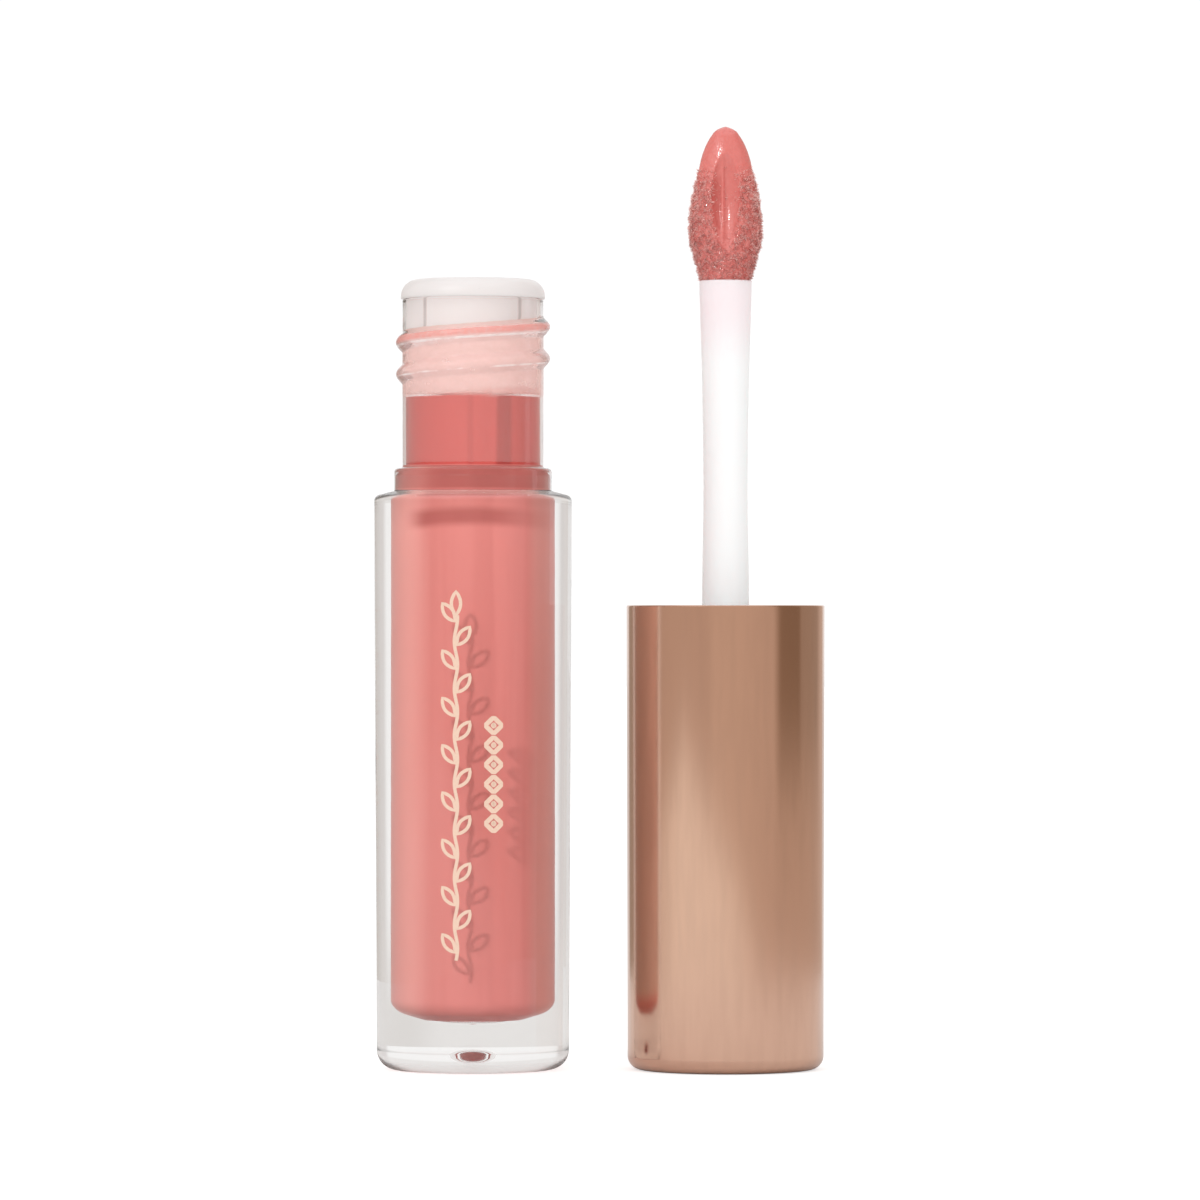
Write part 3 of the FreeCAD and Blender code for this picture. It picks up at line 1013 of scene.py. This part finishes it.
def makeTip():
    # core and flock as one skin: lumpy all over, but smooth at the nose and in the well
    p = tip
    n = p["around"]
    verts, faces = [], []
    for row in range(p["rows"]):
        t = 1 - (1 - row / p["rows"]) ** 1.35   # the rows crowd at the nose
        for k in range(n):
            angle = fullTurn * k / n
            spot = tipPoint(t, angle)
            rough = 1.0 if t < p["roughTo"] else max(0.0, 1 - (t - p["roughTo"]) / p["roughFade"])
            if spot.y < 0 and abs(spot.x) < 1.3 and 0.2 < t < 0.82:
                rough *= 0.15
            bump = sum(noise.noise(spot * scale) * height for scale, height in p["lumps"])
            spot += tipNormal(t, angle) * bump * (0.15 + 0.85 * rough)
            verts.append((capX + spot.x * mm, spot.y * mm, spot.z * mm))
    nose = len(verts)
    verts.append((capX, 0, p["top"] * mm))
    foot = len(verts)
    verts.append((capX, 0, tipFoot.z + 0.05 * mm))
    for row in range(p["rows"] - 1):
        for k in range(n):
            a, b = row * n + k, row * n + (k + 1) % n
            faces.append((a, b, b + n, a + n))
    last = (p["rows"] - 1) * n
    for k in range(n):
        faces.append((last + k, last + (k + 1) % n, nose))
        faces.append(((k + 1) % n, k, foot))
    piece = makeObject("applicatorTip", verts, faces, wetGloss, "cap_unit")
    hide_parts("tip_core", "tip_flock")
    return piece


def makeFibres():
    # short tapered fibres all over the flock, matted where the gloss is thick
    p = tip
    draw = random.Random(p["seed"])
    verts, faces = [], []
    for i in range(p["fibres"]):
        t = draw.random() ** 0.9 * p["bareNose"]
        angle = draw.uniform(0, fullTurn)
        root = tipPoint(t, angle)
        normal = tipNormal(t, angle)
        across = root.x / p["bareHalfWidth"]
        up = (t - p["wellHeight"]) / p["bareHalfHeight"]
        inWell = root.y < 0 and across * across + up * up < 1
        if inWell and draw.random() < p["bareShare"]:
            continue
        dense = p["bareNose"] - p["thinning"]
        if t > dense and draw.random() < (t - dense) / p["thinning"]:
            continue
        sway = Vector((noise.noise(root * 1.7), noise.noise(root * 1.7 + Vector((9, 0, 0))),
                       noise.noise(root * 1.7 + Vector((0, 9, 0)))))
        lean = (normal + sway * 1.1 + Vector([draw.uniform(-0.35, 0.35) for _ in range(3)])).normalized()
        length = p["fibreLength"] * draw.uniform(0.55, 1.15)
        side = normal.cross(lean + Vector((0.1, 0.2, 0.3))).normalized() * p["fibreWidth"]
        other = lean.cross(side)
        start = root - normal * 0.05
        bend = start + lean * length * 0.6 + sway * 0.05
        end = start + lean * length + sway * 0.18 + Vector((0, 0, -0.03))
        base = len(verts)
        for centre, width in ((start, 1.0), (bend, 0.8)):
            for turn in range(3):
                a = fullTurn * turn / 3
                v = centre + (side * math.cos(a) + other * math.sin(a)) * 0.5 * width
                verts.append((capX + v.x * mm, v.y * mm, v.z * mm))
        verts.append((capX + end.x * mm, end.y * mm, end.z * mm))
        for turn in range(3):
            n = (turn + 1) % 3
            faces.append((base + turn, base + n, base + 3 + n, base + 3 + turn))
            faces.append((base + 3 + turn, base + 3 + n, base + 6))
        faces.append((base + 2, base + 1, base))
    piece = makeObject("flockFibres", verts, faces, flockFibre, "cap_unit")
    return piece


tipPiece = makeTip()
fibrePiece = makeFibres()
print("applicator made")


# the studio

studio = {
    "reach": 0.68, "frameWidth": 0.1157, "eyeHeight": 0.0452, "aim": 0.01225,
    "tentRadius": 0.17, "tentHeight": 0.30, "floorHalf": 3.0, "backdrop": (1.05, 1.05, 1.05),
    "room": (0.97, 0.965, 0.96), "clearWhite": (0.97, 0.965, 0.96), "clearGrey": (0.72, 0.69, 0.68),
    "clearLow": (0.82, 0.80, 0.785), "clearLowSide": (0.74, 0.715, 0.695),
    "greyFrom": 48, "greyFull": 56, "floor": (0.80, 0.795, 0.79), "floorGlow": 0.6,
    "roomWarm": (0.69, 0.60, 0.52), "roomDim": (0.62, 0.53, 0.46), "stand": (0.29, 0.22, 0.16),
    "side": (0.42, 0.36, 0.30), "sweep": (1.02, 1.04, 0.99), "tentOpen": 152,
}


# where each light stands, where it points, its width in metres and its power in watts
lights = {
    "key": ((-0.35, -0.45, 0.45), (0.01, 0, 0.04), 0.35, 1.05),
    "fill": ((0.42, -0.50, 0.14), (0.01, 0, 0.04), 0.4, 0.7),
    "spark": ((-0.20, -0.62, 0.36), (0, 0, 0.03), 0.03, 1.7),
    "glint": ((-0.20, -0.62, 0.36), (capX, 0, 0.085), 0.03, 0.8),
    "side": ((0.50, -0.12, 0.08), (0, 0, 0.03), 0.3, 0.5),
}


def floorFinish():
    # pale and matt; brighter to the camera, absent through clear walls
    f = Finish("paleFloor")
    place, (x, y, z) = f.place()
    grain = f.speckle(place, 0.05, 2.0)
    colour = f.mixColour(grain, studio["floor"], dimmed(studio["floor"], 0.99))
    matt = f.node("ShaderNodeBsdfPrincipled", inputs={
        "Base Color": colour, "Roughness": 0.9, "Specular IOR Level": 0.1,
    })
    bright = f.node("ShaderNodeBsdfPrincipled", inputs={
        "Base Color": f.mixColour(0.25, colour, (0, 0, 0)), "Roughness": 0.9, "Specular IOR Level": 0.1,
        "Emission Color": (1, 1, 1), "Emission Strength": studio["floorGlow"],
    })
    direct = f.node("ShaderNodeLightPath", output="Is Camera Ray")
    gone = f.node("ShaderNodeBsdfTransparent")
    return f.surface(f.mixShader(seenThrough(f), f.mixShader(direct, matt, bright), gone))


def makeFloor():
    half = studio["floorHalf"]
    corners = [(-half, -half), (half, -half), (half, half), (-half, half)]
    mesh = bpy.data.meshes.new("floor")
    mesh.from_pydata([(x, y, -0.00002) for x, y in corners], [], [(0, 1, 2, 3)])
    floor = bpy.data.objects.new("floor", mesh)
    bpy.context.scene.collection.objects.link(floor)
    mesh.materials.append(floorFinish())


def makeCamera():
    s = studio
    data = bpy.data.cameras.new("camera")
    data.sensor_width = 36
    data.lens = 36 * s["reach"] / s["frameWidth"]
    data.clip_start, data.clip_end = 0.01, 20
    camera = bpy.data.objects.new("camera", data)
    camera.location = (s["aim"], -s["reach"], s["eyeHeight"])
    camera.rotation_euler = (math.radians(90), 0, 0)
    bpy.context.scene.collection.objects.link(camera)
    bpy.context.scene.camera = camera


def softLight(name):
    # a square soft light, unseen through clear walls
    spot, target, width, power = lights[name]
    data = bpy.data.lights.new(name + "Light", "AREA")
    data.size = width
    data.energy = power
    light = bpy.data.objects.new(name + "Light", data)
    light.location = spot
    light.rotation_euler = (Vector(target) - Vector(spot)).to_track_quat("-Z", "Y").to_euler()
    light.visible_transmission = False
    bpy.context.scene.collection.objects.link(light)
    return light


def tentFinish():
    # what polished pieces mirror: a dim warm room, a dark stand to the right, a white sweep low in front
    f = Finish("tentWall")
    place, (x, y, z) = f.place()
    across = x - capX / mm
    toward = 0.0 - y
    bearing = f.node("ShaderNodeMath", {"operation": "ARCTAN2"}, {0: across, 1: toward}) * math.degrees(1)
    colour = f.mixColour(f.ramp(bearing, -22, -15), studio["roomDim"], studio["roomWarm"])
    colour = f.mixColour(f.ramp(bearing, 10, 55) * 0.6, colour, studio["roomDim"])
    above = f.ramp(z, 16, 34)
    stand = f.ramp(bearing, 54, 66) * f.ramp(bearing, 99, 93) * (0.1 + above * 0.9)
    colour = f.mixColour(stand, colour, studio["stand"])
    side = f.ramp(bearing, 92, 98) * f.ramp(bearing, 142, 128) * (0.2 + above * 0.8)
    colour = f.mixColour(side, colour, studio["side"])
    colour = f.mixColour(f.ramp(bearing, -118, -140), colour, studio["side"])
    slope = (bearing + 49.0).to("ABSOLUTE") * 0.27
    hill = f.ramp(z + slope, 33.0, 22.0)
    reach = f.ramp((bearing + 25.0).to("ABSOLUTE"), 88.0, 25.0)
    colour = f.mixColour(hill * reach * 0.95, colour, studio["sweep"])
    colour = f.mixColour(f.ramp(bearing, 44, 70) * f.ramp(z, 14, 2) * 0.5, colour, studio["roomDim"])
    shader = f.node("ShaderNodeBsdfPrincipled", inputs={
        "Base Color": (0, 0, 0), "Specular IOR Level": 0.0, "Roughness": 1.0,
        "Emission Color": colour, "Emission Strength": 1.0,
    })
    return f.surface(shader)


def makeTent():
    s = studio
    count = 96
    verts, faces = [], []
    for k in range(count + 1):
        angle = front + math.radians(s["tentOpen"]) * (2 * k / count - 1)
        for z in (0.0, s["tentHeight"]):
            verts.append((capX + s["tentRadius"] * math.cos(angle), s["tentRadius"] * math.sin(angle), z))
    for k in range(count):
        faces.append((2 * k, 2 * k + 2, 2 * k + 3, 2 * k + 1))
    mesh = bpy.data.meshes.new("tent")
    mesh.from_pydata(verts, [], faces)
    tent = bpy.data.objects.new("tent", mesh)
    bpy.context.scene.collection.objects.link(tent)
    mesh.materials.append(tentFinish())
    for ray in ("camera", "diffuse", "transmission", "volume_scatter", "shadow"):
        setattr(tent, "visible_" + ray, False)


def makeWorld():
    # white to the camera and as light; clear walls show it greyer to the sides and a little low down
    s = studio
    f = Finish("room", world=True)
    facing = f.node("ShaderNodeTexCoord", output="Generated")
    split = f.node("ShaderNodeSeparateXYZ", inputs={0: facing}).socket.node
    x, y, z = [Wire(f, split.outputs[i]) for i in range(3)]
    bearing = f.node("ShaderNodeMath", {"operation": "ARCTAN2"}, {0: x, 1: y}).to("ABSOLUTE")
    aside = f.ramp(bearing, math.radians(s["greyFrom"]), math.radians(s["greyFull"]))
    clear = f.mixColour(aside, s["clearWhite"], s["clearGrey"])
    low = f.mixColour(f.ramp(x, 0.15, 0.5), s["clearLow"], s["clearLowSide"])
    clear = f.mixColour(f.ramp(z, -0.03, -0.055) * f.ramp(z, -0.5, -0.2), clear, low)
    clear = f.mixColour(f.ramp(z, 0.09, 0.15) * 0.7, clear, s["clearLow"])
    colour = f.mixColour(seenThrough(f), s["room"], clear)
    colour = f.mixColour(f.node("ShaderNodeLightPath", output="Is Camera Ray"), colour, s["backdrop"])
    f.surface(f.node("ShaderNodeBackground", inputs={"Color": colour}))
    f.material.cycles.sampling_method = "NONE"
    bpy.context.scene.world = f.material


def shineOnly(light, pieces, blockers=None):
    # this light reaches only these pieces, and only the blockers shade it
    groups = [("receiver_collection", "Reach", pieces)]
    if blockers:
        groups.append(("blocker_collection", "Shade", blockers))
    for link, ending, members in groups:
        group = bpy.data.collections.new(light.name + ending)
        for piece in members:
            group.objects.link(piece)
        setattr(light.light_linking, link, group)


makeFloor()
makeCamera()
makeWorld()
makeTent()
softLight("key")
softLight("fill").visible_glossy = False
shineOnly(softLight("spark"), (glossPiece,))
shineOnly(softLight("glint"), (tipPiece, fibrePiece))
shineOnly(softLight("side"), (glossPiece,), (foilPiece,))
bpy.context.scene.view_settings.view_transform = "Standard"
print("studio made")
